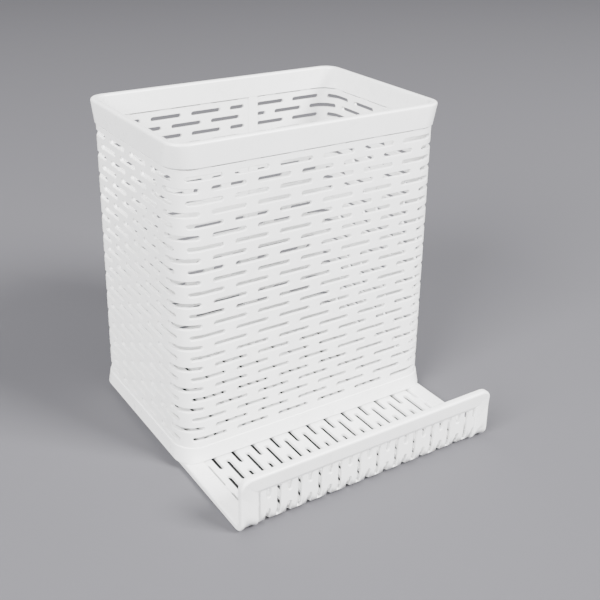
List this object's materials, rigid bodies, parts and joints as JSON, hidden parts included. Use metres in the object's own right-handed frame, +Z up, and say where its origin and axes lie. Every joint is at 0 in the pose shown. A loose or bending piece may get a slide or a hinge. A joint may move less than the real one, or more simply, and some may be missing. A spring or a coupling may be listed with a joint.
{
  "type": "cheese mold",
  "caption": "Tall rectangular slotted drain sleeve with flared top and bottom bands, standing loose on an L-shaped slotted drain tray",
  "frame": {"origin": "centre of the tray's footprint, on the surface that the tray rests on", "axes": "+X to the right seen from the front, +Y to the back, +Z up; the tray's front wall faces -Y"},
  "size_m": [0.152, 0.1559, 0.1675],
  "materials": {
    "white_plastic": "satin",
    "white_band": "satin"
  },
  "bodies": {
    "tray": {"tray_sheet": "white_plastic", "front_edging": "white_band", "back_edging": "white_band", "left_edging": "white_band", "right_edging": "white_band"},
    "mould": {"mould_wall": "white_plastic", "seam_strip": "white_band", "rim_band": "white_band", "foot_band": "white_band"}
  },
  "joints": [
    {"name": "mould_lift", "type": "slide", "parent": "tray", "child": "mould", "axis": [0, 0, 1], "range_m": [0, 0.17]}
  ]
}
